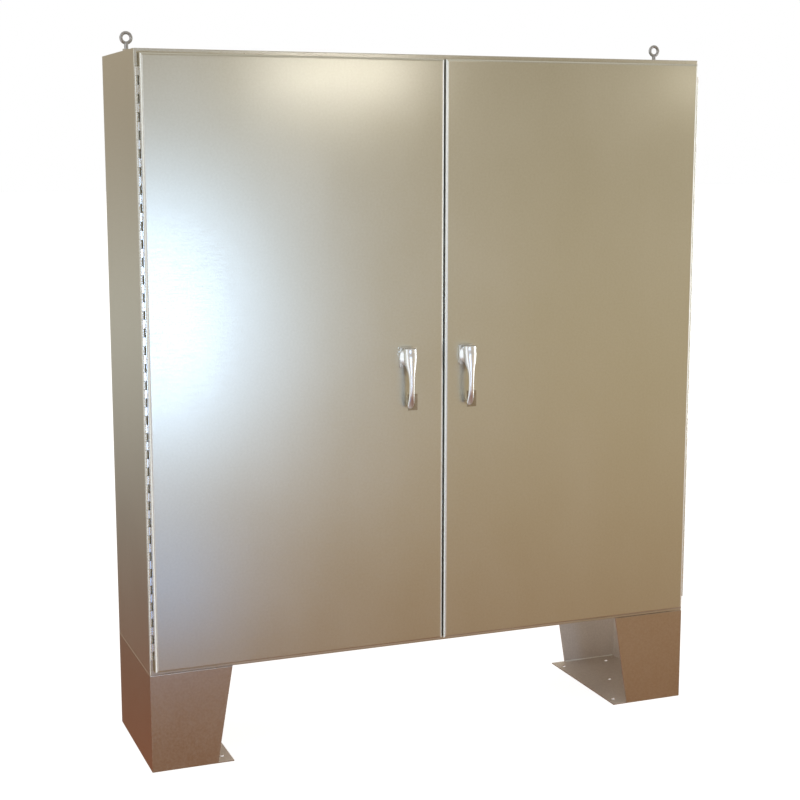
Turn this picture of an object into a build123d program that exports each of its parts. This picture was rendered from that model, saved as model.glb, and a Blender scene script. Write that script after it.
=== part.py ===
from build123d import *
import os

# Free-standing two-door switchboard cabinet on floor stands.
# Millimetres. +X to the right, +Y to the back, +Z up. The origin is on the floor, under the middle of the body.

os.makedirs("parts", exist_ok=True)

# ---- driving dimensions: body ----
body_width = 1828.8
body_height = 1828.8
body_depth = 457.2
sheet = 2.6
flange_width = 44.5
lip_height = 10.0
corner_radius = 4.0

# ---- floor stands ----
stand_height = 304.8
stand_sheet = 3.0
stand_bend_radius = 2.7
stand_top_width = 254.0
stand_bottom_width = 203.0
foot_width = 254.0
stand_flange = 38.0
anchor_radius = 7.0
anchor_outer_inset = 57.0
anchor_inner_inset = 228.6
anchor_end_inset = 47.6

# ---- doors ----
door_sheet = 2.0
door_depth = 25.0
door_inset = 12.7
door_bend_radius = 8.0
door_back_clearance = 3.5
door_gap = 5.0
gap_offset = 23.0
gasket_width = 12.0
gasket_clearance = 0.3
stiffener_width = 60.0
stiffener_depth = 14.0
stiffener_margin = 90.0
stiffener_places = (130.0, 520.0)

# ---- continuous hinges ----
hinge_end_margin = 30.0
hinge_pitch = 50.8
barrel_radius = 5.0
barrel_clearance = 0.4
barrel_door_gap = 2.5
hinge_pin_radius = 2.4
hinge_running_clearance = 0.05
knuckle_gap = 0.8
hinge_sheet = 1.5
frame_leaf_width = 24.0
door_leaf_width = 5.8
door_leaf_notch = 3.0

# ---- centre post ----
post_width = 76.0
post_overlap = 24.0
post_screw_radius = 4.0
post_screw_head = 6.5
post_screw_head_height = 2.8
post_screw_length = 14.0
post_screw_spacing = 40.0
post_screw_inset = 12.0

# ---- handles ----
handle_offset = 99.0
handle_rise = 7.0
shaft_radius = 8.0
running_clearance = 0.05
hole_clearance = 0.5
escutcheon_width = 56.0
escutcheon_height = 63.0
escutcheon_thickness = 4.0
escutcheon_corner = 8.0
escutcheon_stud_radius = 3.0
escutcheon_stud_inset = 9.0
escutcheon_nut_flats = 10.0
escutcheon_nut_height = 5.0
hub_radius = 18.0
hub_length = 24.0
hub_gap = 0.3
shaft_engagement = 16.0
lever_length = 161.0
lever_width = 15.0
lever_thickness = 12.0
lever_reach = 30.0
neck_length = 62.0
tip_length = 26.0
tip_reach = 16.0
tip_thickness = 9.0
lever_round = 2.5
bearing_plate = 5.0
bearing_boss_radius = 14.0
bearing_length = 14.0

# ---- three-point latches ----
cam_margin = 3.0
cam_thickness = 5.0
cam_rod_gap = 0.6
drive_radius = 20.0
drive_pin_radius = 4.0
drive_pin_head = 6.5
drive_pin_head_height = 2.0
drive_slot_clearance = 0.8
nose_width = 22.0
nose_clearance = 1.5
rod_width = 16.0
rod_thickness = 5.0
rod_eye_wall = 4.5
roller_radius = 10.0
roller_width = 7.4
roller_pin_radius = 3.0
roller_side_clearance = 0.3
roller_round_clearance = 0.6
roller_end_clearance = 1.5
roller_wall_clearance = 1.5
clevis_depth = 16.0
clevis_reach = 7.0
clevis_web = 5.0
guide_clearance = 0.5
guide_wall = 4.0
guide_length = 12.0
guide_outer_inset = 150.0
guide_inner_distance = 110.0

# ---- padlock staples ----
staple_plate_width = 30.0
staple_plate_height = 50.0
staple_plate_thickness = 2.5
staple_side = 17.0
staple_drop = 141.0
staple_radius = 7.0
staple_wire_radius = 2.5

# ---- lifting eyebolts ----
eyebolt_inset = 28.0
eye_height = 42.0
eye_radius = 14.75
eye_wire_radius = 4.75
eyebolt_shank_radius = 6.0
eyebolt_shank_below = 26.0
eyebolt_nut_flats = 19.0
eyebolt_nut_height = 8.0
eyebolt_washer_radius = 12.0
eyebolt_washer_thickness = 2.5

# ---- mounting panel ----
panel_side_clearance = 50.9
panel_end_clearance = 50.9
panel_sheet = 3.0
panel_return = 15.0
panel_standoff = 60.0
panel_collar_radius = 9.0
panel_stud_radius = 5.0
panel_stud_inset = 30.0
panel_stud_rows = 4
panel_nut_flats = 17.0
panel_nut_height = 8.0

# ---- small fittings ----
stand_bolt_radius = 5.0
stand_bolt_flats = 17.0
stand_bolt_head = 6.4
stand_bolt_nut = 8.0
stand_bolt_inset = 70.0
stand_bolt_spacing = 120.0
stand_bolt_edge = 20.0
thread_end = 3.0
earth_stud_radius = 4.0
earth_stud_length = 25.0
earth_stud_inset = 90.0
pocket_width = 300.0
pocket_height = 220.0
pocket_depth = 24.0
pocket_sheet = 1.5
pocket_drop = 330.0

# ---- places worked out from the sizes above ----
front = -body_depth / 2
back = body_depth / 2
bottom = stand_height
top = bottom + body_height
middle = (bottom + top) / 2
half_width = body_width / 2
opening_bottom = bottom + flange_width
opening_top = top - flange_width
opening_half = half_width - flange_width

door_face = front - door_depth
door_inside = door_face + door_sheet
door_back = front - door_back_clearance
door_bottom = bottom + door_inset
door_top = top - door_inset
lip_tip = front - lip_height

hinge_count = int((door_top - door_bottom - 2 * hinge_end_margin) / hinge_pitch)
hinge_length = hinge_count * hinge_pitch
hinge_bottom = middle - hinge_length / 2
hinge_top = middle + hinge_length / 2
hinge_x = half_width - door_inset + barrel_radius + barrel_door_gap
hinge_y = front - barrel_radius - barrel_clearance

post_left = gap_offset - post_width / 2
post_right = gap_offset + post_width / 2
post_front = front + sheet
post_back = post_front + sheet

handle_z = middle + handle_rise
rod_y = front + sheet + roller_wall_clearance + roller_radius
cam_back = rod_y - rod_thickness / 2 - cam_rod_gap
cam_front = cam_back - cam_thickness
drive_offset = drive_radius * 0.5 ** 0.5
rod_offset = (drive_offset + drive_radius) / 2


def box(x0, x1, y0, y1, z0, z1):
    """A solid box between two corners."""
    size = (abs(x1 - x0), abs(y1 - y0), abs(z1 - z0))
    return Pos((x0 + x1) / 2, (y0 + y1) / 2, (z0 + z1) / 2) * Box(*size)


def rod_along_y(x, z, y0, y1, radius):
    """A cylinder along Y from y0 to y1."""
    return Pos(x, (y0 + y1) / 2, z) * Rot(90, 0, 0) * Cylinder(radius, abs(y1 - y0))


def rod_along_z(x, y, z0, z1, radius):
    """A cylinder along Z from z0 to z1."""
    return Pos(x, y, (z0 + z1) / 2) * Cylinder(radius, abs(z1 - z0))


def hex_along_z(x, y, z0, z1, flats):
    """A hexagonal prism along Z from z0 to z1."""
    return Pos(x, y, z0) * extrude(RegularPolygon(flats / 2, 6, major_radius=False), z1 - z0)


def hex_along_y(x, z, y0, y1, flats):
    """A hexagonal prism along Y from y0 to y1."""
    prism = extrude(RegularPolygon(flats / 2, 6, major_radius=False), y1 - y0)
    return Pos(x, y0, z) * Rot(-90, 0, 0) * prism


def save(name, solids):
    """One sub-part, as one solid or as a group of separate ones."""
    group = solids if isinstance(solids, list) else [solids]
    shape = group[0] if len(group) == 1 else Compound(children=[Compound(s.solids()) for s in group])
    export_step(shape, f"parts/{name}.step")


# ---- body ----

def side_panel(side):
    """Side wall folded round the front corner into the flange, with a forward lip for the gasket."""
    outer = Pos(side * (half_width - flange_width / 2), 0) * Rectangle(flange_width, body_depth)
    inside_width = flange_width - sheet
    inner = Pos(side * (half_width - sheet - inside_width / 2), sheet) * Rectangle(inside_width, body_depth)
    corner = outer.vertices().sort_by(Axis.Y)[:2].sort_by(Axis.X)[-1 if side > 0 else 0]
    section = fillet(corner, corner_radius) - inner
    wall = Pos(0, 0, bottom) * extrude(section, body_height)
    lip = box(side * opening_half, side * (opening_half + sheet), lip_tip, front,
              opening_bottom - sheet, opening_top + sheet)
    return wall + lip


def end_panel(level, inward):
    """Top or bottom wall between the side walls, folded at the front into its flange and lip."""
    wall_half = half_width - sheet
    edge = level + inward * flange_width
    wall = box(-wall_half, wall_half, front + sheet, back, level, level + inward * sheet)
    flange = box(-opening_half, opening_half, front, front + sheet, level, edge)
    lip = box(-opening_half, post_left, lip_tip, front, edge - inward * sheet, edge)
    lip += box(post_right, opening_half, lip_tip, front, edge - inward * sheet, edge)
    return wall + flange + lip


def round_front_edge(panel, level):
    """The fold between an end panel's wall and its flange."""
    edges = panel.edges().filter_by(Axis.X).filter_by_position(Axis.Z, level - 0.01, level + 0.01)
    return fillet(edges.sort_by(Axis.Y)[0], sheet * 0.9)


def stand_bolt_places():
    places = []
    for side in (-1, 1):
        for step in (0, 1):
            for end in (-1, 1):
                x = side * (half_width - stand_bolt_inset - step * stand_bolt_spacing)
                places.append((x, end * (body_depth / 2 - stand_bolt_edge)))
    return places


def drill_z(shape, places, radius, z0, z1):
    for x, y in places:
        shape = shape - rod_along_z(x, y, z0, z1, radius)
    return shape


eyebolt_places = [(side * (half_width - eyebolt_inset), 0) for side in (-1, 1)]
eyebolt_hole = eyebolt_shank_radius + hole_clearance
stand_bolt_hole = stand_bolt_radius + hole_clearance

top_panel = round_front_edge(end_panel(top, -1), top)
bottom_panel = round_front_edge(end_panel(bottom, 1), bottom)
top_panel = drill_z(top_panel, eyebolt_places, eyebolt_hole, top - 2 * sheet, top + sheet)
bottom_panel = drill_z(bottom_panel, stand_bolt_places(), stand_bolt_hole, bottom - sheet, bottom + 2 * sheet)

save("left_side_panel", side_panel(-1))
save("right_side_panel", side_panel(1))

back_panel = box(-half_width + sheet, half_width - sheet, back - sheet, back, bottom + sheet, top - sheet)
save("back_panel", back_panel)


# ---- floor stands ----

def stand_top_edges(stand, edge):
    """The outer folds at the top of a stand: along its front, its outer side and its back."""
    across = stand.edges().filter_by(Axis.X).filter_by_position(Axis.Z, stand_height - 0.01, stand_height + 0.01)
    across = across.sort_by(Axis.Y)
    along = stand.edges().filter_by(Axis.Y).filter_by_position(Axis.Z, stand_height - 0.01, stand_height + 0.01)
    along = along.filter_by_position(Axis.X, edge - 0.01, edge + 0.01)
    return [across[0], across[-1], along[0]]


def stand_solid(side):
    """One folded stand: outer wall, front and back trapezoids, foot plate and the flanges it is bolted up by."""
    edge = side * half_width

    def inward(distance):
        return side * (half_width - distance)

    outline = Polyline((edge, 0), (inward(stand_bottom_width), 0), (inward(stand_top_width), stand_height),
                       (edge, stand_height), close=True)
    trapezoid = Plane.XZ * make_face(outline)
    front_wall = Pos(0, front + stand_sheet, 0) * extrude(trapezoid, stand_sheet)
    back_wall = Pos(0, back, 0) * extrude(trapezoid, stand_sheet)
    stand = front_wall + back_wall
    stand += box(edge, inward(stand_sheet), front, back, 0, stand_height)
    stand += box(edge, inward(foot_width), front, back, 0, stand_sheet)
    under = stand_height - stand_sheet
    stand += box(edge, inward(stand_top_width), front, front + stand_flange, under, stand_height)
    stand += box(edge, inward(stand_top_width), back - stand_flange, back, under, stand_height)
    stand += box(edge, inward(stand_flange), front, back, under, stand_height)
    stand = fillet(stand_top_edges(stand, edge), stand_bend_radius)
    for inset in (anchor_outer_inset, anchor_inner_inset):
        for end in (-1, 1):
            y = end * (body_depth / 2 - anchor_end_inset)
            stand -= rod_along_z(inward(inset), y, -1, stand_sheet + 1, anchor_radius)
    centre_inset = (anchor_outer_inset + anchor_inner_inset) / 2
    stand -= rod_along_z(inward(centre_inset), 0, -1, stand_sheet + 1, anchor_radius)
    places = [place for place in stand_bolt_places() if place[0] * side > 0]
    return drill_z(stand, places, stand_bolt_hole, under - 1, stand_height + 1)


save("left_stand", stand_solid(-1))
save("right_stand", stand_solid(1))

flange_underside = bottom - stand_sheet
nut_underside = flange_underside - stand_bolt_nut
stand_bolts = []
stand_nuts = []
for x, y in stand_bolt_places():
    head = hex_along_z(x, y, bottom + sheet, bottom + sheet + stand_bolt_head, stand_bolt_flats)
    shank = rod_along_z(x, y, nut_underside - thread_end, bottom + sheet, stand_bolt_radius)
    stand_bolts.append(head + shank)
    nut = hex_along_z(x, y, nut_underside, flange_underside, stand_bolt_flats)
    stand_nuts.append(nut - shank)
save("stand_bolts", stand_bolts)
save("stand_nuts", stand_nuts)


# ---- lifting eyebolts ----

eyebolts = []
eyebolt_nuts = []
eyebolt_washers = []
for x, y in eyebolt_places:
    eye = Pos(x, y, top + eye_height) * Rot(90, 0, 0) * Torus(eye_radius, eye_wire_radius)
    shank = rod_along_z(x, y, top - eyebolt_shank_below, top + eye_height - eye_radius, eyebolt_shank_radius)
    eyebolts.append(eye + shank)
    for surface, outward in ((top, 1), (top - sheet, -1)):
        seat = surface + outward * eyebolt_washer_thickness
        washer = rod_along_z(x, y, surface, seat, eyebolt_washer_radius)
        eyebolt_washers.append(washer - shank)
        nut_end = seat + outward * eyebolt_nut_height
        nut = hex_along_z(x, y, min(seat, nut_end), max(seat, nut_end), eyebolt_nut_flats)
        eyebolt_nuts.append(nut - shank)
save("lifting_eyebolts", eyebolts)
save("eyebolt_nuts", eyebolt_nuts)
save("eyebolt_washers", eyebolt_washers)


# ---- mounting panel, studs and nuts ----

panel_back = back - sheet - panel_standoff
panel_front = panel_back - panel_sheet
panel_width = body_width - 2 * panel_side_clearance
panel_height = body_height - 2 * panel_end_clearance
panel_half = panel_width / 2
panel_bottom = middle - panel_height / 2
panel_top = middle + panel_height / 2
panel = box(-panel_half, panel_half, panel_front, panel_back + panel_return, panel_bottom, panel_top)
panel -= box(-panel_half + panel_sheet, panel_half - panel_sheet, panel_back, panel_back + panel_return,
             panel_bottom + panel_sheet, panel_top - panel_sheet)
row_step = (panel_height - 2 * panel_stud_inset) / (panel_stud_rows - 1)
panel_studs = []
panel_nuts = []
for row in range(panel_stud_rows):
    for side in (-1, 1):
        x = side * (panel_half - panel_stud_inset)
        z = panel_bottom + panel_stud_inset + row * row_step
        nut_face = panel_front - panel_nut_height
        stud = rod_along_y(x, z, nut_face - thread_end, back - sheet, panel_stud_radius)
        collar = rod_along_y(x, z, panel_back, back - sheet, panel_collar_radius)
        hole = rod_along_y(x, z, panel_front - 1, panel_back + 1, panel_stud_radius + hole_clearance)
        panel -= hole
        panel_studs.append(stud + collar)
        panel_nuts.append(hex_along_y(x, z, nut_face, panel_front, panel_nut_flats) - stud)
save("mounting_panel", panel)
save("panel_studs", panel_studs)
save("panel_nuts", panel_nuts)

earth_stud_x = -half_width + earth_stud_inset
earth_stud_y = front + earth_stud_inset
save("earth_stud", rod_along_z(earth_stud_x, earth_stud_y, bottom + sheet, bottom + sheet + earth_stud_length,
                               earth_stud_radius))


# ---- centre post ----

post = box(post_left, post_right, post_front, post_back, opening_bottom - post_overlap, opening_top + post_overlap)
for x0, x1 in ((post_left, post_left + sheet), (post_right - sheet, post_right)):
    post += box(x0, x1, lip_tip, post_back, opening_bottom, opening_top)
    post += box(x0, x1, lip_tip, front, opening_bottom - sheet, opening_top + sheet)
post_screws = []
post_screw_holes = []
for level in (opening_bottom - post_screw_inset, opening_top + post_screw_inset):
    for step in (-0.5, 0.5):
        x = gap_offset + step * post_screw_spacing
        shank = rod_along_y(x, level, front, front + post_screw_length, post_screw_radius)
        head = rod_along_y(x, level, front - post_screw_head_height, front, post_screw_head)
        post_screws.append(shank + head)
        post_screw_holes.append(rod_along_y(x, level, front - 1, post_back + 1, post_screw_radius))
post -= post_screw_holes
save("centre_post", post)
save("centre_post_screws", post_screws)
save("top_panel", top_panel - post_screw_holes)
save("bottom_panel", bottom_panel - post_screw_holes)


# ---- continuous hinges ----

def knuckle(side, arm, bore_radius, z0):
    """One knuckle: a short tube with the arm that joins it to its leaf."""
    tube = Pos(side * hinge_x, hinge_y) * Circle(barrel_radius)
    bore = Pos(side * hinge_x, hinge_y) * Circle(bore_radius)
    section = tube + arm - bore
    return Pos(0, 0, z0 + knuckle_gap / 2) * extrude(section, hinge_pitch / 2 - knuckle_gap)


def flat_arm(x0, x1, y0, y1):
    return Pos((x0 + x1) / 2, (y0 + y1) / 2) * Rectangle(abs(x1 - x0), abs(y1 - y0))


barrel_relief = barrel_radius + barrel_clearance


def frame_leaf(side):
    """The leaf on the body's flange, with the first knuckle of every pitch."""
    near = side * (hinge_x - barrel_relief)
    leaf = box(near, side * (hinge_x - frame_leaf_width), front - hinge_sheet, front, hinge_bottom, hinge_top)
    arm = flat_arm(side * hinge_x, near, front - hinge_sheet, front)
    knuckles = []
    for index in range(hinge_count):
        knuckles.append(knuckle(side, arm, hinge_pin_radius, hinge_bottom + index * hinge_pitch))
    return leaf + knuckles


def door_leaf(side):
    """The leaf on the door's folded edge, with the second knuckle of every pitch."""
    inner = side * (half_width - door_inset)
    outer = side * (half_width - door_inset + hinge_sheet)
    near = hinge_y - barrel_relief
    leaf = box(inner, outer, near - door_leaf_width, near, hinge_bottom, hinge_top)
    arm = flat_arm(inner, side * hinge_x, near, near + hinge_sheet)
    knuckles = []
    notches = []
    for index in range(hinge_count):
        z0 = hinge_bottom + index * hinge_pitch
        z1 = z0 + hinge_pitch / 2
        notches.append(box(inner, outer, near - door_leaf_notch, near, z0, z1))
        knuckles.append(knuckle(side, arm, hinge_pin_radius + hinge_running_clearance, z1))
    return leaf - notches + knuckles


hinge_pins = [rod_along_z(side * hinge_x, hinge_y, hinge_bottom, hinge_top, hinge_pin_radius) for side in (-1, 1)]
save("hinge_pins", hinge_pins)


# ---- doors ----

def door_edges(side):
    """The hinge edge and the free edge of a door."""
    return side * (half_width - door_inset), gap_offset + side * door_gap / 2


def stud_places(side):
    """Where the four escutcheon studs go through the door."""
    places = []
    for across in (-1, 1):
        for up in (-1, 1):
            x = side * handle_offset + across * (escutcheon_width / 2 - escutcheon_stud_inset)
            places.append((x, handle_z + up * (escutcheon_height / 2 - escutcheon_stud_inset)))
    return places


def rounded_tray(outer, inner, y0, y1, z0, z1, radius):
    """A block whose front edges are rounded."""
    block = box(outer, inner, y0, y1, z0, z1)
    return fillet(block.faces().sort_by(Axis.Y)[0].edges(), radius)


def door_skin(side):
    """The folded pan: a flat face with rounded folds into four short returns."""
    outer, inner = door_edges(side)
    skin = rounded_tray(outer, inner, door_face, door_back, door_bottom, door_top, door_bend_radius)
    skin -= rounded_tray(outer - side * door_sheet, inner + side * door_sheet, door_inside, door_back + 1,
                         door_bottom + door_sheet, door_top - door_sheet, door_bend_radius - door_sheet)
    skin -= rod_along_y(side * handle_offset, handle_z, door_face - 1, door_inside + 1, shaft_radius + hole_clearance)
    for x, z in stud_places(side):
        skin -= rod_along_y(x, z, door_face - 1, door_inside + 1, escutcheon_stud_radius + hole_clearance)
    return skin


def door_gasket(side):
    """A rectangular ring that meets the forward lips all round the opening."""
    outer = side * (opening_half + sheet / 2)
    inner = gap_offset + side * (post_width - sheet) / 2
    lower = opening_bottom - sheet / 2
    upper = opening_top + sheet / 2
    half = gasket_width / 2
    y1 = lip_tip - gasket_clearance
    ring = box(outer + side * half, inner - side * half, door_inside, y1, lower - half, upper + half)
    return ring - box(outer - side * half, inner + side * half, door_inside, y1, lower + half, upper - half)


def door_stiffeners(side):
    """Two upright channels welded inside the skin."""
    hinge_edge = door_edges(side)[0]
    z0 = door_bottom + stiffener_margin
    z1 = door_top - stiffener_margin
    channels = []
    for distance in stiffener_places:
        x = hinge_edge - side * distance
        half = stiffener_width / 2
        channel = box(x - half, x + half, door_inside, door_inside + stiffener_depth, z0, z1)
        hollow = box(x - half + door_sheet, x + half - door_sheet, door_inside,
                     door_inside + stiffener_depth - door_sheet, z0, z1)
        channels.append(channel - hollow)
    return channels


def escutcheon(side):
    """The plate round the handle shaft, with four threaded studs through the door."""
    x = side * handle_offset
    outline = RectangleRounded(escutcheon_width, escutcheon_height, escutcheon_corner)
    plate = Pos(x, door_face, handle_z) * Rot(90, 0, 0) * extrude(outline, escutcheon_thickness)
    for stud_x, stud_z in stud_places(side):
        end = door_inside + bearing_plate + escutcheon_nut_height + thread_end
        plate += rod_along_y(stud_x, stud_z, door_face - escutcheon_thickness / 2, end, escutcheon_stud_radius)
    return plate - rod_along_y(x, handle_z, door_face - escutcheon_thickness - 1, door_face + 1,
                               shaft_radius + running_clearance)


def shaft_bearing(side):
    """The flanged bearing inside the door."""
    x = side * handle_offset
    outline = RectangleRounded(escutcheon_width, escutcheon_height, escutcheon_corner)
    bearing = Pos(x, door_inside + bearing_plate, handle_z) * Rot(90, 0, 0) * extrude(outline, bearing_plate)
    bearing += rod_along_y(x, handle_z, door_inside, door_inside + bearing_length, bearing_boss_radius)
    for stud_x, stud_z in stud_places(side):
        bearing -= rod_along_y(stud_x, stud_z, door_inside - 1, door_inside + bearing_plate + 1,
                               escutcheon_stud_radius + hole_clearance)
    return bearing - rod_along_y(x, handle_z, door_inside - 1, door_inside + bearing_length + 1,
                                 shaft_radius + running_clearance)


def escutcheon_nuts(side):
    nuts = []
    seat = door_inside + bearing_plate
    for x, z in stud_places(side):
        nut = hex_along_y(x, z, seat, seat + escutcheon_nut_height, escutcheon_nut_flats)
        nuts.append(nut - rod_along_y(x, z, seat - 1, seat + escutcheon_nut_height + 1, escutcheon_stud_radius))
    return nuts


def padlock_staple(side):
    """A small plate with a wire loop beside the lever's lower end."""
    x = side * handle_offset + staple_side
    z = handle_z - staple_drop
    half_plate = staple_plate_width / 2
    plate_face = door_face - staple_plate_thickness
    plate = box(x - half_plate, x + half_plate, plate_face, door_face,
                z - staple_plate_height / 2, z + staple_plate_height / 2)
    loop = Pos(x, plate_face, z) * Rot(0, 90, 0) * Torus(staple_radius, staple_wire_radius)
    reach = staple_radius + staple_wire_radius
    behind = box(x - reach, x + reach, plate_face + staple_plate_thickness / 2, plate_face + 2 * reach,
                 z - 2 * reach, z + 2 * reach)
    return plate + (loop - behind)


# ---- handles and latches ----

def lever(side):
    """The cast handle: a hub, a tapering neck, a straight grip and a tip bent back to the door."""
    x = side * handle_offset
    base = escutcheon_thickness + hub_gap
    crown = base + hub_length
    grip_back = lever_reach
    grip_front = lever_reach + lever_thickness
    bend = lever_length - tip_length
    side_view = [(base + hub_gap, -hub_radius), (grip_back, -neck_length), (grip_back, -bend),
                 (tip_reach, -lever_length), (tip_reach + tip_thickness, -lever_length), (grip_front, -bend),
                 (grip_front, -neck_length), (crown, hub_radius), (base + hub_gap, hub_radius)]
    outline = Polyline(*[(door_face - out, handle_z + up) for out, up in side_view], close=True)
    blade = Pos(x - hub_radius, 0, 0) * extrude(Plane.YZ * make_face(outline), 2 * hub_radius)
    half = lever_width / 2
    front_view = Polyline((-hub_radius, 0), (-half, -neck_length), (-half, -lever_length), (half, -lever_length),
                          (half, -neck_length), (hub_radius, 0), close=True)
    face = make_face(front_view) + Circle(hub_radius)
    mask = Pos(x, door_face, handle_z) * Rot(90, 0, 0) * extrude(face, grip_front + 1)
    body = blade & mask
    body += rod_along_y(x, handle_z, door_face - base - hub_length, door_face - base, hub_radius)
    return body - rod_along_y(x, handle_z, door_face - base - shaft_engagement, door_face, shaft_radius)


def shaft(side):
    y0 = door_face - escutcheon_thickness - hub_gap - shaft_engagement
    return rod_along_y(side * handle_offset, handle_z, y0, cam_back, shaft_radius)


def drive_pin_place(side, up):
    """The upper (+1) or lower (-1) drive pin, at rest, half way between upright and level."""
    return side * handle_offset - side * up * drive_offset, handle_z + up * drive_offset


def latch_cam(side):
    """A disc on the shaft with a nose towards the centre post and a hole for each drive pin."""
    x = side * handle_offset
    radius = drive_radius + drive_pin_radius + cam_margin
    nose_end = gap_offset + side * (post_width / 2 + nose_clearance)
    cam = rod_along_y(x, handle_z, cam_front, cam_back, radius)
    cam += box(x, nose_end, cam_front, cam_back, handle_z - nose_width / 2, handle_z + nose_width / 2)
    cam -= rod_along_y(x, handle_z, cam_front - 1, cam_back + 1, shaft_radius)
    for up in (-1, 1):
        pin_x, pin_z = drive_pin_place(side, up)
        cam -= rod_along_y(pin_x, pin_z, cam_front - 1, cam_back + 1, drive_pin_radius)
    return cam


def drive_pins(side):
    pins = []
    head_face = rod_y + rod_thickness / 2 + cam_rod_gap
    for up in (-1, 1):
        x, z = drive_pin_place(side, up)
        pin = rod_along_y(x, z, cam_front, head_face, drive_pin_radius)
        pins.append(pin + rod_along_y(x, z, head_face, head_face + drive_pin_head_height, drive_pin_head))
    return pins


def rod_place(side, up):
    return side * handle_offset - side * up * rod_offset


def roller_level(up):
    """The height of a roller's pin when the latch is shut."""
    end = opening_top if up > 0 else opening_bottom
    return end - up * (roller_end_clearance + roller_radius)


def latch_rod(side, up):
    """A flat bar from a slotted eye on the cam's pin to a clevis that carries the roller."""
    x = rod_place(side, up)
    pivot_x = side * handle_offset
    reach = drive_pin_radius + drive_slot_clearance
    y0 = rod_y - rod_thickness / 2
    y1 = rod_y + rod_thickness / 2
    near = pivot_x - side * up * (drive_offset - reach)
    far = pivot_x - side * up * (drive_radius + reach)
    pin_z = handle_z + up * drive_offset
    away = -side * up * rod_eye_wall
    eye = box(near - away, far + away, y0, y1, pin_z - reach - rod_eye_wall, pin_z + reach + rod_eye_wall)
    axis_z = roller_level(up)
    root_z = axis_z - up * (roller_radius + roller_round_clearance)
    half = rod_width / 2
    rod = eye + box(x - half, x + half, y0, y1, pin_z + up * reach, root_z)
    rod += box(x - half, x + half, rod_y - clevis_depth / 2, rod_y + clevis_depth / 2,
               root_z - up * clevis_web, axis_z + up * clevis_reach)
    rod -= box(near, far, y0, y1, pin_z - reach, pin_z + reach)
    slot = roller_width / 2 + roller_side_clearance
    rod -= box(x - slot, x + slot, rod_y - clevis_depth, rod_y + clevis_depth, root_z, axis_z + up * roller_radius)
    return rod - roller_cylinder(side, up, roller_pin_radius, rod_width)


def roller_cylinder(side, up, radius, width):
    return Pos(rod_place(side, up), rod_y, roller_level(up)) * Rot(0, 90, 0) * Cylinder(radius, width)


def latch_roller(side, up):
    bore = roller_cylinder(side, up, roller_pin_radius + running_clearance, rod_width)
    return roller_cylinder(side, up, roller_radius, roller_width) - bore


def rod_guides(side):
    """Four brackets on the door, each with a window that a rod slides through."""
    guides = []
    y0 = rod_y - rod_thickness / 2 - guide_clearance
    y1 = rod_y + rod_thickness / 2 + guide_clearance
    for up in (-1, 1):
        x = rod_place(side, up)
        end = opening_top if up > 0 else opening_bottom
        half = rod_width / 2 + guide_clearance
        for z in (end - up * guide_outer_inset, handle_z + up * guide_inner_distance):
            z0 = z - guide_length / 2
            z1 = z + guide_length / 2
            guide = box(x - half - guide_wall, x + half + guide_wall, door_inside, y1 + guide_wall, z0, z1)
            guide -= box(x - half, x + half, y0, y1, z0, z1)
            guide -= box(x - half, x + half, door_inside + guide_wall, y0 - guide_wall, z0, z1)
            guides.append(guide)
    return guides


def data_pocket():
    """An open-topped sheet pocket between the left door's channels."""
    x = door_edges(-1)[0] + sum(stiffener_places) / 2
    z1 = middle + pocket_drop
    z0 = z1 - pocket_height
    half = pocket_width / 2
    y1 = door_inside + pocket_depth
    pocket = box(x - half, x + half, door_inside, y1, z0, z1)
    return pocket - box(x - half + pocket_sheet, x + half - pocket_sheet, door_inside + pocket_sheet,
                        y1 - pocket_sheet, z0 + pocket_sheet, z1 + 1)


for side, name in ((-1, "left"), (1, "right")):
    save(name + "_hinge_frame_leaf", frame_leaf(side))
    save(name + "_hinge_door_leaf", door_leaf(side))
    save(name + "_door_skin", door_skin(side))
    save(name + "_door_gasket", door_gasket(side))
    save(name + "_door_stiffeners", door_stiffeners(side))
    save(name + "_escutcheon", escutcheon(side))
    save(name + "_escutcheon_nuts", escutcheon_nuts(side))
    save(name + "_shaft_bearing", shaft_bearing(side))
    save(name + "_padlock_staple", padlock_staple(side))
    save(name + "_rod_guides", rod_guides(side))
    save(name + "_handle_lever", lever(side))
    save(name + "_handle_shaft", shaft(side))
    save(name + "_latch_cam", latch_cam(side))
    save(name + "_drive_pins", drive_pins(side))
    for up, level in ((1, "upper"), (-1, "lower")):
        save(f"{name}_{level}_rod", latch_rod(side, up))
        save(f"{name}_{level}_roller", latch_roller(side, up))
        save(f"{name}_{level}_roller_pin", roller_cylinder(side, up, roller_pin_radius, rod_width))
save("data_pocket", data_pocket())
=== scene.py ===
import math

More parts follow.
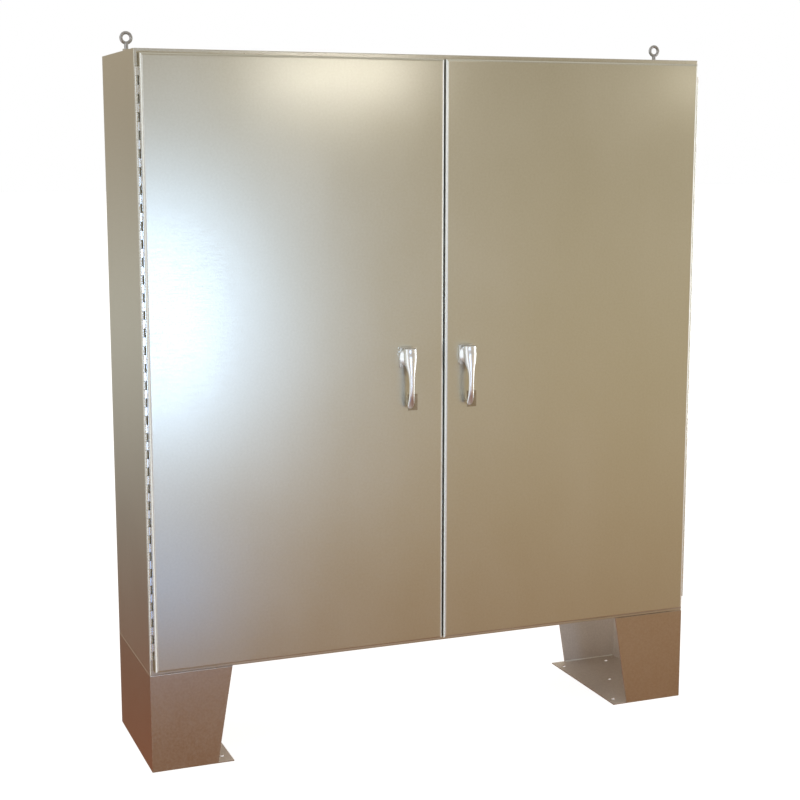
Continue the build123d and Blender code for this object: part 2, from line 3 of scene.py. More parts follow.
import bpy
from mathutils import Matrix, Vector


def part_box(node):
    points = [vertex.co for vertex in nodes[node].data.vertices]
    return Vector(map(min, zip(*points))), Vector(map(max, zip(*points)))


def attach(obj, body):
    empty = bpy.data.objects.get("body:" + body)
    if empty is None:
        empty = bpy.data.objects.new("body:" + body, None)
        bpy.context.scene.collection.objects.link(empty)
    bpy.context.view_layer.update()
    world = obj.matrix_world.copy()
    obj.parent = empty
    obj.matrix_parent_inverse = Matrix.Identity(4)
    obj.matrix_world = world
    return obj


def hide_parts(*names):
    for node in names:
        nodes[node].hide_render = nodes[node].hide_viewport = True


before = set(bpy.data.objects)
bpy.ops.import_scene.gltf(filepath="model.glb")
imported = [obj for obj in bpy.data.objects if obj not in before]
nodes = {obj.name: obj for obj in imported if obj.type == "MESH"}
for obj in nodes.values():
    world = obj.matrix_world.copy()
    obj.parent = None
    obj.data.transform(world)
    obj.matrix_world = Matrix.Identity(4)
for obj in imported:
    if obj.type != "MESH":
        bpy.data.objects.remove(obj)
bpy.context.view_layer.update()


# ---- Studio ----
# A pale floor and a white backdrop. Satin steel shows what stands round it, so the room's light goes from
# brown near the ground to tan at eye level and cream overhead. A bright window stands far to each side, a
# cool soft box by the camera, and small lamps near the doors' top edge and the floor.

bpy.context.scene.view_settings.view_transform = "Standard"
world = bpy.data.worlds.new("studio")
bpy.context.scene.world = world
world.use_nodes = True
room = world.node_tree
direction = room.nodes.new("ShaderNodeTexCoord")
parts = room.nodes.new("ShaderNodeSeparateXYZ")
room.links.new(direction.outputs["Generated"], parts.inputs["Vector"])


def height_gradient(stops):
    """Light that changes with height. A stop is the sine of an angle above the horizon, and a colour."""
    low, high = stops[0][0], stops[-1][0]
    height = room.nodes.new("ShaderNodeMapRange")
    height.inputs["From Min"].default_value = low
    height.inputs["From Max"].default_value = high
    ramp = room.nodes.new("ShaderNodeValToRGB")
    elements = ramp.color_ramp.elements
    for index, (sine, colour) in enumerate(stops):
        place = (sine - low) / (high - low)
        element = elements[index] if index < 2 else elements.new(place)
        element.position = place
        element.color = (*colour, 1)
    room.links.new(parts.outputs["Z"], height.inputs["Value"])
    room.links.new(height.outputs["Result"], ramp.inputs["Fac"])
    return ramp.outputs["Color"]


front_light = height_gradient((
    (-0.95, (0.60, 0.52, 0.46)),
    (-0.60, (0.22, 0.08, 0.03)),
    (-0.40, (0.23, 0.06, 0.01)),
    (-0.30, (0.48, 0.26, 0.11)),
    (-0.20, (0.77, 0.63, 0.41)),
    (-0.10, (0.78, 0.67, 0.44)),
    (0.05, (0.485, 0.41, 0.29)),
    (0.30, (0.48, 0.425, 0.35)),
    (0.80, (0.74, 0.70, 0.64)),
))
back_light = height_gradient((
    (-0.90, (0.60, 0.52, 0.46)),
    (-0.55, (0.55, 0.15, 0.05)),
    (-0.34, (0.26, 0.10, 0.05)),
    (-0.24, (0.26, 0.21, 0.17)),
    (-0.11, (0.74, 0.74, 0.66)),
    (0.02, (0.46, 0.39, 0.29)),
    (0.10, (0.62, 0.52, 0.38)),
    (0.80, (0.78, 0.76, 0.70)),
))
# The windows' edges, from left to right: the sine of the angle off straight ahead, and how much of a
# window shows.
window_edges = (
    (-0.98, 0.15),
    (-0.93, 1),
    (-0.76, 1),
    (-0.56, 0),
    (0.84, 0),
    (0.90, 1),
    (0.94, 1),
    (0.98, 0.15),
)
across = room.nodes.new("ShaderNodeMapRange")
across.inputs["From Min"].default_value = -1
across.inputs["From Max"].default_value = 1
room.links.new(parts.outputs["X"], across.inputs["Value"])
window = room.nodes.new("ShaderNodeValToRGB")
for index, (sine, shine) in enumerate(window_edges):
    place = (sine + 1) / 2
    edge = window.color_ramp.elements[index] if index < 2 else window.color_ramp.elements.new(place)
    edge.position = place
    edge.color = (shine, shine, shine, 1)
room.links.new(across.outputs["Result"], window.inputs["Fac"])
windows = room.nodes.new("ShaderNodeMixRGB")
windows.inputs["Color2"].default_value = (1.5, 1.6, 1.68, 1)
room.links.new(window.outputs["Color"], windows.inputs["Fac"])
room.links.new(front_light, windows.inputs["Color1"])
behind = room.nodes.new("ShaderNodeMapRange")
behind.inputs["From Min"].default_value = -0.2
behind.inputs["From Max"].default_value = 0.4
room.links.new(parts.outputs["Y"], behind.inputs["Value"])
around = room.nodes.new("ShaderNodeMixRGB")
room.links.new(behind.outputs["Result"], around.inputs["Fac"])
room.links.new(windows.outputs["Color"], around.inputs["Color1"])
room.links.new(back_light, around.inputs["Color2"])
ray = room.nodes.new("ShaderNodeLightPath")
shown = room.nodes.new("ShaderNodeMixRGB")
shown.inputs["Color2"].default_value = (1, 1, 1, 1)
room.links.new(around.outputs["Color"], shown.inputs["Color1"])
room.links.new(ray.outputs["Is Camera Ray"], shown.inputs["Fac"])
room.links.new(shown.outputs["Color"], room.nodes["Background"].inputs["Color"])

bpy.ops.mesh.primitive_plane_add(size=120, location=(0, 0, 0))
floor = bpy.context.active_object
floor.name = "studio_floor"
floor.visible_glossy = False
floor_paint = bpy.data.materials.new("floor_paint")
floor_paint.use_nodes = True
floor_shader = floor_paint.node_tree.nodes["Principled BSDF"]
floor_shader.inputs["Base Color"].default_value = (0.35, 0.35, 0.35, 1)
floor_shader.inputs["Roughness"].default_value = 0.7
floor_shader.inputs["Emission Color"].default_value = (1, 1, 1, 1)
floor_shader.inputs["Emission Strength"].default_value = 0.88
floor.data.materials.append(floor_paint)


def soft_box(name, place, target, size, power, colour):
    """An area light of a width and a height, in metres, that faces a target point."""
    light = bpy.data.lights.new(name, "AREA")
    light.shape = "RECTANGLE"
    light.size, light.size_y = size
    light.energy = power
    light.color = colour
    holder = bpy.data.objects.new(name, light)
    bpy.context.collection.objects.link(holder)
    holder.location = place
    holder.rotation_euler = (Vector(target) - Vector(place)).to_track_quat("-Z", "Y").to_euler()
    return holder


soft_box("key", (-0.07, -4.3, 0.94), (-0.8, -0.25, 1.3), (0.36, 0.9), 24.5, (0.465, 0.665, 1.0))
small_lamps = (
    ("ceiling_lamp", (0.00, -1.20, 2.117), (-0.4, -0.25, 2.08), (0.52, 0.03), 0.70, (1.0, 0.97, 0.93)),
    ("corner_lamp", (1.50, -1.20, 2.117), (0.9, -0.25, 2.08), (0.20, 0.03), 0.17, (1.0, 0.96, 0.88)),
    ("side_strip", (4.2, -1.3, 1.3), (0, -0.25, 1.3), (0.25, 2.4), 30, (0.95, 0.98, 1.0)),
    ("floor_sheen", (-0.50, -2.1, 0.06), (-0.85, -0.25, 0.55), (0.30, 0.35), 0.85, (0.10, 0.42, 1.0)),
)
for lamp in small_lamps:
    soft_box(*lamp).visible_camera = False

camera_data = bpy.data.cameras.new("camera")
camera_data.lens = 69.87
camera = bpy.data.objects.new("camera", camera_data)
bpy.context.collection.objects.link(camera)
camera.location = (-1.8417, -4.6274, 1.8622)
camera.rotation_euler = (math.radians(80.72), 0, math.radians(-21.44))
bpy.context.scene.camera = camera


# ---- Sheet steel ----
# Stainless sheet, 2 to 3 mm thick, with a fine satin grain from the mill. The body, doors and stands are
# folded from it. The grain mottles the gloss, the sheet is never quite flat, and handling leaves smears
# and scratches.

def place_noise(tree, place, scale, stretch, detail=3.0):
    """Noise over the piece, in metres, drawn out by the stretch along X, Y and Z."""
    mapping = tree.nodes.new("ShaderNodeMapping")
    mapping.inputs["Scale"].default_value = (1 / stretch[0], 1 / stretch[1], 1 / stretch[2])
    noise = tree.nodes.new("ShaderNodeTexNoise")
    noise.inputs["Scale"].default_value = scale
    noise.inputs["Detail"].default_value = detail
    tree.links.new(place.outputs["Object"], mapping.inputs["Vector"])
    tree.links.new(mapping.outputs["Vector"], noise.inputs["Vector"])
    return noise.outputs["Fac"]


def spread(tree, value, low, high):
    """A noise value, mostly 0.3 to 0.7, spread over a range."""
    fit = tree.nodes.new("ShaderNodeMapRange")
    fit.inputs["From Min"].default_value = 0.3
    fit.inputs["From Max"].default_value = 0.7
    fit.inputs["To Min"].default_value = low
    fit.inputs["To Max"].default_value = high
    tree.links.new(value, fit.inputs["Value"])
    return fit.outputs["Result"]


def total(tree, first, second):
    both = tree.nodes.new("ShaderNodeMath")
    both.operation = "ADD"
    tree.links.new(first, both.inputs[0])
    tree.links.new(second, both.inputs[1])
    return both.outputs[0]


def blend_colours(tree, value, dark, light):
    mix = tree.nodes.new("ShaderNodeMixRGB")
    mix.inputs["Color1"].default_value = (*dark, 1)
    mix.inputs["Color2"].default_value = (*light, 1)
    tree.links.new(value, mix.inputs["Fac"])
    return mix.outputs["Color"]


def raised(tree, height, strength, distance, under=None):
    """A bump from a height, on top of the one under it."""
    bump = tree.nodes.new("ShaderNodeBump")
    bump.inputs["Strength"].default_value = strength
    bump.inputs["Distance"].default_value = distance
    tree.links.new(height, bump.inputs["Height"])
    if under:
        tree.links.new(under, bump.inputs["Normal"])
    return bump.outputs["Normal"]


def satin_steel(name, dark, light, roughness, mottling=1.0):
    """Satin steel: mottled grain in colour and gloss, faint smears, fine scratches and a slow waviness."""
    material = bpy.data.materials.new(name)
    material.use_nodes = True
    tree = material.node_tree
    shader = tree.nodes["Principled BSDF"]
    shader.inputs["Metallic"].default_value = 1.0
    place = tree.nodes.new("ShaderNodeTexCoord")
    smears = place_noise(tree, place, 3.5, (1, 1, 1.6), 6)
    mottle = place_noise(tree, place, 150, (1, 1, 1), 3)
    lines = place_noise(tree, place, 900, (40, 40, 1), 2)
    grain_tone = spread(tree, mottle, -0.15 * mottling, 0.45 * mottling)
    tone = total(tree, spread(tree, smears, 0.15, 0.55), grain_tone)
    tree.links.new(blend_colours(tree, tone, dark, light), shader.inputs["Base Color"])
    grain_gloss = spread(tree, mottle, -0.03 * mottling, 0.03 * mottling)
    gloss = total(tree, spread(tree, smears, -0.015, 0.015), grain_gloss)
    line_gloss = spread(tree, lines, roughness - 0.02, roughness + 0.02)
    tree.links.new(total(tree, gloss, line_gloss), shader.inputs["Roughness"])
    fine = raised(tree, mottle, 0.06 * mottling, 0.0008)
    scratched = raised(tree, lines, 0.05, 0.0001, fine)
    wave = place_noise(tree, place, 2.2, (1, 1, 1.3), 1)
    tree.links.new(raised(tree, wave, 0.4, 0.0012, scratched), shader.inputs["Normal"])
    return material


body_steel = satin_steel("body_satin_stainless", (0.53, 0.515, 0.46), (0.61, 0.60, 0.55), 0.33)


def clear_selection():
    bpy.ops.object.select_all(action="DESELECT")


def formed_copy(name, break_width, segments=2):
    """A copy of a made part, its triangles merged and its sharp edges broken as the press leaves them."""
    clear_selection()
    piece = bpy.data.objects.new(name + "_formed", nodes[name].data.copy())
    bpy.context.collection.objects.link(piece)
    bpy.context.view_layer.objects.active = piece
    piece.select_set(True)
    bpy.ops.mesh.customdata_custom_splitnormals_clear()
    bpy.ops.object.mode_set(mode="EDIT")
    bpy.ops.mesh.select_all(action="SELECT")
    bpy.ops.mesh.remove_doubles(threshold=0.000005)
    bpy.ops.mesh.dissolve_limited(angle_limit=math.radians(0.5))
    bpy.ops.object.mode_set(mode="OBJECT")
    edge_break = piece.modifiers.new("edge_break", "BEVEL")
    edge_break.width = break_width
    edge_break.segments = segments
    edge_break.limit_method = "ANGLE"
    edge_break.angle_limit = math.radians(40)
    bpy.ops.object.modifier_apply(modifier="edge_break")
    even_shading(piece)
    return piece


def even_shading(piece):
    """Smooth round the folds, and true on the flats."""
    bpy.ops.object.shade_smooth_by_angle(angle=math.radians(40))
    flats = piece.modifiers.new("flats", "WEIGHTED_NORMAL")
    flats.keep_sharp = True
    flats.weight = 100
    bpy.ops.object.modifier_apply(modifier="flats")


def fit_piece(piece, material, slot, body, *replaced):
    """Gives a finished piece its material, its body and the parts that it stands for. The slot is not used.
    """
    piece.data.materials.clear()
    piece.data.materials.append(material)
    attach(piece, body)
    if replaced:
        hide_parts(*replaced)


# ---- Body ----
# Side, top, bottom and back sheets, seam welded and ground flush. The side sheets fold round the front
# corners into the flange that the doors shut over. A removable post closes the middle.

body_edge_break = 0.0007
body_sheets = (
    "left_side_panel",
    "right_side_panel",
    "top_panel",
    "bottom_panel",
    "back_panel",
    "centre_post",
)
for name in body_sheets:
    fit_piece(formed_copy(name, body_edge_break), body_steel, "stainless_sheet", "cabinet", name)


# ---- Floor stands ----
# Each stand is one folded sheet, 3 mm thick: an outer wall, two tapered walls, a foot plate and bolting
# flanges. Its top edges keep the round of the folds. Its outside is a darker, browner copy of the body's
# steel, which is painted shade. Its inside has the rougher, duller finish that the sheet came with, in a
# paler colour that is painted light lifting the shade in the hollow.

# The stands' outside: a darker, browner copy of the body's steel, which is painted shade.
stand_shaded_steel = satin_steel("stand_shaded_satin_stainless", (0.46, 0.38, 0.31), (0.54, 0.47, 0.40), 0.34)
# Rough mill finish for the hollow, in a paler colour that is painted light lifting the shade there.
mill_and_lit_steel = satin_steel("stand_mill_finish_painted_light", (0.66, 0.58, 0.50), (0.82, 0.74, 0.66), 0.50, 0.8)
mill_and_lit_steel.node_tree.nodes["Principled BSDF"].inputs["Metallic"].default_value = 0.40
tapered_wall_out = 0.20
outer_wall_out = 0.90
foot_top = 0.01


def faces_hollow(side, centre, normal):
    """Whether a face of a stand looks into its hollow."""
    into_front = centre.y < -tapered_wall_out and normal.y > 0.5
    into_back = centre.y > tapered_wall_out and normal.y < -0.5
    outer_wall = normal.x * side < -0.9 and abs(centre.x) > outer_wall_out
    foot = normal.z > 0.5 and centre.z < foot_top
    return into_front or into_back or outer_wall or foot


for side, name in ((-1, "left_stand"), (1, "right_stand")):
    stand = formed_copy(name, 0.0010, 3)
    fit_piece(stand, stand_shaded_steel, "stand_stainless", "cabinet", name)
    # Faces that look into the hollow take the paler steel: painted light where shade falls.
    stand.data.materials.append(mill_and_lit_steel)
    for face in stand.data.polygons:
        face.material_index = 1 if faces_hollow(side, face.center, face.normal) else 0


# ---- Stand welds ----
# Short fusion welds close the inside corners of each stand, where the tapered walls meet the foot plate.
# The ripples lie one on the next; their near-white colour, far brighter than the sheet, is a painted
# highlight along the inside corners.

def place_in_mesh(piece):
    """Keeps the piece's place in its mesh, with the object itself at the origin."""
    clear_selection()
    bpy.context.view_layer.objects.active = piece
    piece.select_set(True)
    bpy.ops.object.transform_apply(location=True, rotation=True, scale=True)


def twin(piece, name, shift):
    """A copy with its own mesh, moved in edit mode."""
    clear_selection()
    copy = bpy.data.objects.new(name, piece.data.copy())
    bpy.context.collection.objects.link(copy)
    bpy.context.view_layer.objects.active = copy
    copy.select_set(True)
    bpy.ops.object.mode_set(mode="EDIT")
    bpy.ops.mesh.select_all(action="SELECT")
    bpy.ops.transform.translate(value=shift)
    bpy.ops.object.mode_set(mode="OBJECT")
    return copy


# Near-white, mostly diffuse steel for the beads: a painted highlight along the stands' inside corners.
weld_highlight_steel = satin_steel("weld_bead_painted_highlight", (0.92, 0.88, 0.76), (0.99, 0.97, 0.90), 0.34)
weld_highlight_steel.node_tree.nodes["Principled BSDF"].inputs["Metallic"].default_value = 0.2
ripple_step = 0.0024
ripple_radius = 0.0030
ripple_squash = 0.75
stand_sheet = 0.003
weld_length = 0.192
weld_start_inset = 0.198
for side, name in ((-1, "left_stand"), (1, "right_stand")):
    stand_low, stand_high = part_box(name)
    outer = stand_low[0] if side < 0 else stand_high[0]
    for end, wall in (("front", stand_low[1] + stand_sheet), ("back", stand_high[1] - stand_sheet)):
        clear_selection()
        start = (outer - side * weld_start_inset, wall, stand_sheet)
        bpy.ops.mesh.primitive_uv_sphere_add(
            segments=10,
            ring_count=6,
            radius=ripple_radius,
            location=start,
        )
        bead = bpy.context.active_object
        bead.name = f"{name}_{end}_weld"
        bpy.ops.object.mode_set(mode="EDIT")
        bpy.ops.mesh.select_all(action="SELECT")
        bpy.ops.transform.resize(value=(ripple_squash, 1, 1), center_override=start)
        bpy.ops.object.mode_set(mode="OBJECT")
        row = bead.modifiers.new("ripples", "ARRAY")
        row.use_relative_offset = False
        row.use_constant_offset = True
        row.constant_offset_displace = (side * ripple_step, 0, 0)
        row.count = int(weld_length / ripple_step)
        bpy.ops.object.modifier_apply(modifier="ripples")
        bpy.ops.object.shade_smooth_by_angle(angle=math.radians(60))
        place_in_mesh(bead)
        fit_piece(bead, weld_highlight_steel, "stand_stainless", "cabinet")


# ---- Doors ----
# Two folded pans with rounded front edges, and two channels spot-welded inside each to keep the face
# flat. The press stretches the upright folds, so their grain is rougher than the flat's; their paler colour
# is a painted highlight along the folds.

door_steel = satin_steel("door_satin_stainless", (0.55, 0.54, 0.465), (0.63, 0.625, 0.555), 0.33, 0.7)
fold_highlight_steel = satin_steel("door_fold_painted_highlight", (0.78, 0.80, 0.77), (0.88, 0.90, 0.87), 0.52, 1.5)
for side in ("left", "right"):
    for part in ("door_skin", "door_stiffeners"):
        name = f"{side}_{part}"
        fit_piece(formed_copy(name, 0.0005), door_steel, "stainless_sheet", f"{side}_door", name)
    skin = bpy.data.objects[f"{side}_door_skin_formed"]
    skin.data.materials.append(fold_highlight_steel)
    # The upright folds take the paler steel: a painted highlight along the doors' rounded edges.
    for face in skin.data.polygons:
        on_fold = 0.05 < abs(face.normal.x) < 0.99 and face.normal.y < 0
        face.material_index = 1 if on_fold else 0


# ---- Continuous hinges ----
# Rolled stainless knuckles, one from each leaf in turn on one long pin. The leaves are spot-welded to the
# flange and to the door's folded edge. Rolling and handling polish the knuckles brighter than the sheet.

hinge_steel = satin_steel("hinge_stainless", (0.60, 0.60, 0.58), (0.72, 0.72, 0.70), 0.26, 0.5)
leaf_edge_break = 0.00025
for side in ("left", "right"):
    for leaf, body in (("frame", "cabinet"), ("door", f"{side}_door")):
        name = f"{side}_hinge_{leaf}_leaf"
        fit_piece(formed_copy(name, leaf_edge_break, 1), hinge_steel, "hinge_stainless", body, name)
fit_piece(formed_copy("hinge_pins", 0.0004), hinge_steel, "hinge_stainless", "cabinet", "hinge_pins")


# ---- Lever handles ----
# Die-cast zinc, polished and chrome plated. A tapered round boss turns on the shaft, the square head
# grows out of it and runs down into a slim grip, and the tip curves back to the door. The plate behind is
# a chromed pressing.

def chrome_plate(name, roughness):
    """Bright plate: faint polishing ripples, fine wiping marks and a slight dulling where hands go."""
    material = bpy.data.materials.new(name)
    material.use_nodes = True
    tree = material.node_tree
    shader = tree.nodes["Principled BSDF"]
    shader.inputs["Metallic"].default_value = 1.0
    place = tree.nodes.new("ShaderNodeTexCoord")
    worn = place_noise(tree, place, 60, (1, 1, 2), 5)
    wiped = place_noise(tree, place, 1400, (1, 1, 20), 2)
    tone = blend_colours(tree, spread(tree, worn, 0, 1), (0.74, 0.74, 0.74), (0.85, 0.86, 0.87))
    tree.links.new(tone, shader.inputs["Base Color"])
    dulled = spread(tree, worn, roughness, roughness + 0.08)
    tree.links.new(total(tree, dulled, spread(tree, wiped, -0.02, 0.02)), shader.inputs["Roughness"])
    tree.links.new(raised(tree, wiped, 0.03, 0.00005), shader.inputs["Normal"])
    return material


def pick_faces(piece, wanted):
    """Selects the faces that a test accepts by centre and normal, and goes on in edit mode."""
    bpy.ops.object.mode_set(mode="EDIT")
    bpy.ops.mesh.select_mode(type="FACE")
    bpy.ops.mesh.select_all(action="DESELECT")
    bpy.ops.object.mode_set(mode="OBJECT")
    for face in piece.data.polygons:
        face.select = wanted(face.center, face.normal)
    bpy.ops.object.mode_set(mode="EDIT")


handle_chrome = chrome_plate("handle_chrome", 0.30)
shaft_low, shaft_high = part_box("left_handle_shaft")
handle_x = (shaft_low[0] + shaft_high[0]) / 2
handle_z = (shaft_low[2] + shaft_high[2]) / 2
plate_thickness = 0.004
door_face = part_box("left_escutcheon")[0][1] + plate_thickness
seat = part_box("left_handle_lever")[1][1]

clear_selection()
width, depth = 0.045, 0.034
head_gap = 0.0005
head_top_height = 0.014
middle_out = plate_thickness + head_gap + depth / 2
top_centre = (handle_x, door_face - middle_out, handle_z + 1.5 * head_top_height)
bpy.ops.mesh.primitive_cube_add(size=1, location=top_centre)
lever = bpy.context.active_object
lever.name = "left_lever_cast"
bpy.ops.object.mode_set(mode="EDIT")
bpy.ops.mesh.select_all(action="SELECT")
bpy.ops.transform.resize(value=(width, depth, head_top_height), center_override=top_centre)
pick_faces(lever, lambda centre, normal: normal.z < -0.9)
# Each step down the lever: its height over the shaft, how far its middle stands off the door, its width
# and depth, and the turn of the section in degrees.
lever_steps = (
    (0.006, 0.0232, 0.046, 0.038, 0),
    (-0.014, 0.0236, 0.043, 0.037, 0),
    (-0.030, 0.0278, 0.034, 0.030, 7),
    (-0.042, 0.0330, 0.026, 0.019, 6),
    (-0.057, 0.0356, 0.0200, 0.0140, 2),
    (-0.086, 0.0362, 0.0180, 0.0125, 0),
    (-0.112, 0.0356, 0.0185, 0.0115, -4),
    (-0.130, 0.0325, 0.0205, 0.0110, -14),
    (-0.146, 0.0265, 0.0215, 0.0105, -12),
    (-0.158, 0.0205, 0.0200, 0.0095, -8),
)
level = head_top_height
for up, out, new_width, new_depth, turn in lever_steps:
    move = (0, middle_out - out, up - level)
    bpy.ops.mesh.extrude_region_move(TRANSFORM_OT_translate={"value": move})
    centre = (handle_x, door_face - out, handle_z + up)
    bpy.ops.transform.resize(value=(new_width / width, new_depth / depth, 1), center_override=centre)
    bpy.ops.transform.rotate(value=math.radians(turn), orient_axis="X", center_override=centre)
    level, middle_out, width, depth = up, out, new_width, new_depth
pick_faces(lever, lambda centre, normal: normal.z > 0.9)
top_inset, top_crown = 0.003, 0.0012
bpy.ops.mesh.inset(thickness=top_inset)
bpy.ops.transform.translate(value=(0, 0, top_crown))
bpy.ops.mesh.select_all(action="SELECT")
bpy.ops.mesh.normals_make_consistent(inside=False)
bpy.ops.object.mode_set(mode="OBJECT")
casting = lever.modifiers.new("casting", "SUBSURF")
casting.levels = 4
casting.render_levels = 4
bpy.ops.object.modifier_apply(modifier="casting")
bpy.ops.object.shade_smooth()
place_in_mesh(lever)

clear_selection()
boss_radius = 0.0275
foot_depth = 0.001
bpy.ops.mesh.primitive_cylinder_add(
    vertices=64,
    radius=boss_radius,
    depth=foot_depth,
    location=(handle_x, seat - foot_depth / 2, handle_z),
    rotation=(math.radians(90), 0, 0),
)
collar = bpy.context.active_object
collar.name = "left_lever_collar"
place_in_mesh(collar)
pick_faces(collar, lambda centre, normal: normal.y < -0.9)
boss_centre = (handle_x, seat, handle_z)
for step_out, taper in ((0.010, 0.66), (0.015, 0.94)):
    bpy.ops.mesh.extrude_region_move(TRANSFORM_OT_translate={"value": (0, -step_out, 0)})
    bpy.ops.transform.resize(value=(taper, 1, taper), center_override=boss_centre)
bpy.ops.object.mode_set(mode="OBJECT")
collar_round = collar.modifiers.new("collar_round", "BEVEL")
collar_round.width = 0.0016
collar_round.segments = 4
collar_round.limit_method = "ANGLE"
bpy.ops.object.modifier_apply(modifier="collar_round")
even_shading(collar)
handle_shift = (-2 * handle_x, 0, 0)
right_lever = twin(lever, "right_lever_cast", handle_shift)
right_collar = twin(collar, "right_lever_collar", handle_shift)
fit_piece(lever, handle_chrome, "handle_chrome", "left_handle", "left_handle_lever")
fit_piece(collar, handle_chrome, "handle_chrome", "left_handle")
fit_piece(right_lever, handle_chrome, "handle_chrome", "right_handle", "right_handle_lever")
fit_piece(right_collar, handle_chrome, "handle_chrome", "right_handle")

plate_chrome = satin_steel("escutcheon_satin_chrome", (0.62, 0.61, 0.57), (0.72, 0.71, 0.67), 0.30, 0.4)
plate_edge_round = 0.0012
for side in ("left", "right"):
    name = f"{side}_escutcheon"
    fit_piece(formed_copy(name, plate_edge_round, 3), plate_chrome, "handle_chrome", f"{side}_door", name)


# ---- Padlock staples ----
# A stainless pressing welded to the door beside the grip, with a bent wire loop. It is a little rougher
# than the door, and its dark brown colour is painted shade beside the grip's lower end.

# Dark brown steel for the staples: painted shade beside each grip's lower end.
staple_shade_steel = satin_steel("staple_painted_shade", (0.29, 0.25, 0.18), (0.42, 0.37, 0.29), 0.38, 1.2)
for side in ("left", "right"):
    name = f"{side}_padlock_staple"
    fit_piece(formed_copy(name, 0.0006), staple_shade_steel, "stainless_sheet", f"{side}_door", name)


# ---- Latch gear ----
# Zinc-plated steel: a cam on the handle's shaft, flat rods up and down in welded guides, and a flanged
# bearing. The plate has a blue cast, dull crystals and rub marks along the way that the rods slide.

def zinc_plated(name):
    material = bpy.data.materials.new(name)
    material.use_nodes = True
    tree = material.node_tree
    shader = tree.nodes["Principled BSDF"]
    shader.inputs["Metallic"].default_value = 1.0
    place = tree.nodes.new("ShaderNodeTexCoord")
    crystals = tree.nodes.new("ShaderNodeTexVoronoi")
    crystals.inputs["Scale"].default_value = 260
    tree.links.new(place.outputs["Object"], crystals.inputs["Vector"])
    rubs = place_noise(tree, place, 500, (1, 1, 30), 3)
    clouds = place_noise(tree, place, 25, (1, 1, 3), 5)
    tone = total(tree, spread(tree, clouds, 0, 0.7), spread(tree, rubs, -0.1, 0.3))
    colour = blend_colours(tree, tone, (0.46, 0.50, 0.54), (0.74, 0.76, 0.78))
    tree.links.new(colour, shader.inputs["Base Color"])
    crystal_gloss = spread(tree, crystals.outputs["Color"], 0.30, 0.36)
    gloss = total(tree, crystal_gloss, spread(tree, rubs, -0.04, 0.06))
    tree.links.new(gloss, shader.inputs["Roughness"])
    fine = raised(tree, crystals.outputs["Distance"], 0.08, 0.0003)
    tree.links.new(raised(tree, rubs, 0.08, 0.0002, fine), shader.inputs["Normal"])
    return material


latch_zinc = zinc_plated("latch_zinc_plate")
latch_edge_break = 0.0004
latch_parts = (
    ("latch_cam", "handle"),
    ("handle_shaft", "handle"),
    ("upper_rod", "upper_latch_rod"),
    ("lower_rod", "lower_latch_rod"),
    ("rod_guides", "door"),
    ("shaft_bearing", "door"),
)
for side in ("left", "right"):
    for part, body in latch_parts:
        name = f"{side}_{part}"
        fit_piece(formed_copy(name, latch_edge_break), latch_zinc, "latch_zinc", f"{side}_{body}", name)


# ---- Latch rollers ----
# Turned white nylon wheels that run up behind the opening's flange, each on a steel pin through its rod's
# end. The tread is scuffed grey where it rolls.

def moulded_nylon(name):
    material = bpy.data.materials.new(name)
    material.use_nodes = True
    tree = material.node_tree
    shader = tree.nodes["Principled BSDF"]
    shader.inputs["Subsurface Weight"].default_value = 0.15
    shader.inputs["Subsurface Radius"].default_value = (0.002, 0.002, 0.0015)
    place = tree.nodes.new("ShaderNodeTexCoord")
    scuffs = place_noise(tree, place, 300, (3, 1, 1), 5)
    colour = blend_colours(tree, spread(tree, scuffs, 0, 1), (0.66, 0.65, 0.60), (0.86, 0.85, 0.80))
    tree.links.new(colour, shader.inputs["Base Color"])
    tree.links.new(spread(tree, scuffs, 0.38, 0.58), shader.inputs["Roughness"])
    tree.links.new(raised(tree, scuffs, 0.15, 0.0002), shader.inputs["Normal"])
    return material


nylon = moulded_nylon("roller_nylon")
for side in ("left", "right"):
    for end in ("upper", "lower"):
        name = f"{side}_{end}_roller"
        fit_piece(formed_copy(name, 0.0008, 3), nylon, "roller_nylon", f"{side}_{end}_latch_roller", name)


# ---- Door gaskets ----
# Foamed-in-place polyurethane, poured as a bead round the inside of each door. It has a closed skin over
# fine pores, soft round shoulders, and a line pressed in by the flange's lip.

def foam_seal(name):
    material = bpy.data.materials.new(name)
    material.use_nodes = True
    tree = material.node_tree
    shader = tree.nodes["Principled BSDF"]
    shader.inputs["Sheen Weight"].default_value = 0.3
    place = tree.nodes.new("ShaderNodeTexCoord")
    pores = tree.nodes.new("ShaderNodeTexVoronoi")
    pores.inputs["Scale"].default_value = 900
    tree.links.new(place.outputs["Object"], pores.inputs["Vector"])
    skin = place_noise(tree, place, 120, (1, 1, 1), 5)
    colour = blend_colours(tree, spread(tree, skin, 0, 1), (0.035, 0.035, 0.037), (0.075, 0.075, 0.078))
    tree.links.new(colour, shader.inputs["Base Color"])
    tree.links.new(spread(tree, skin, 0.62, 0.86), shader.inputs["Roughness"])
    fine = raised(tree, pores.outputs["Distance"], 0.35, 0.0005)
    tree.links.new(raised(tree, skin, 0.25, 0.0010, fine), shader.inputs["Normal"])
    return material


seal_foam = foam_seal("gasket_foam")
bead_shoulder = 0.0035
for side in ("left", "right"):
    name = f"{side}_door_gasket"
    fit_piece(formed_copy(name, bead_shoulder, 4), seal_foam, "gasket_foam", f"{side}_door", name)


# ---- Lifting eyebolts ----
# Forged steel eyes with a dull plated finish. The ring flares into a tapered neck over the shank, and a
# nut and washer on each side of the top sheet clamp it.

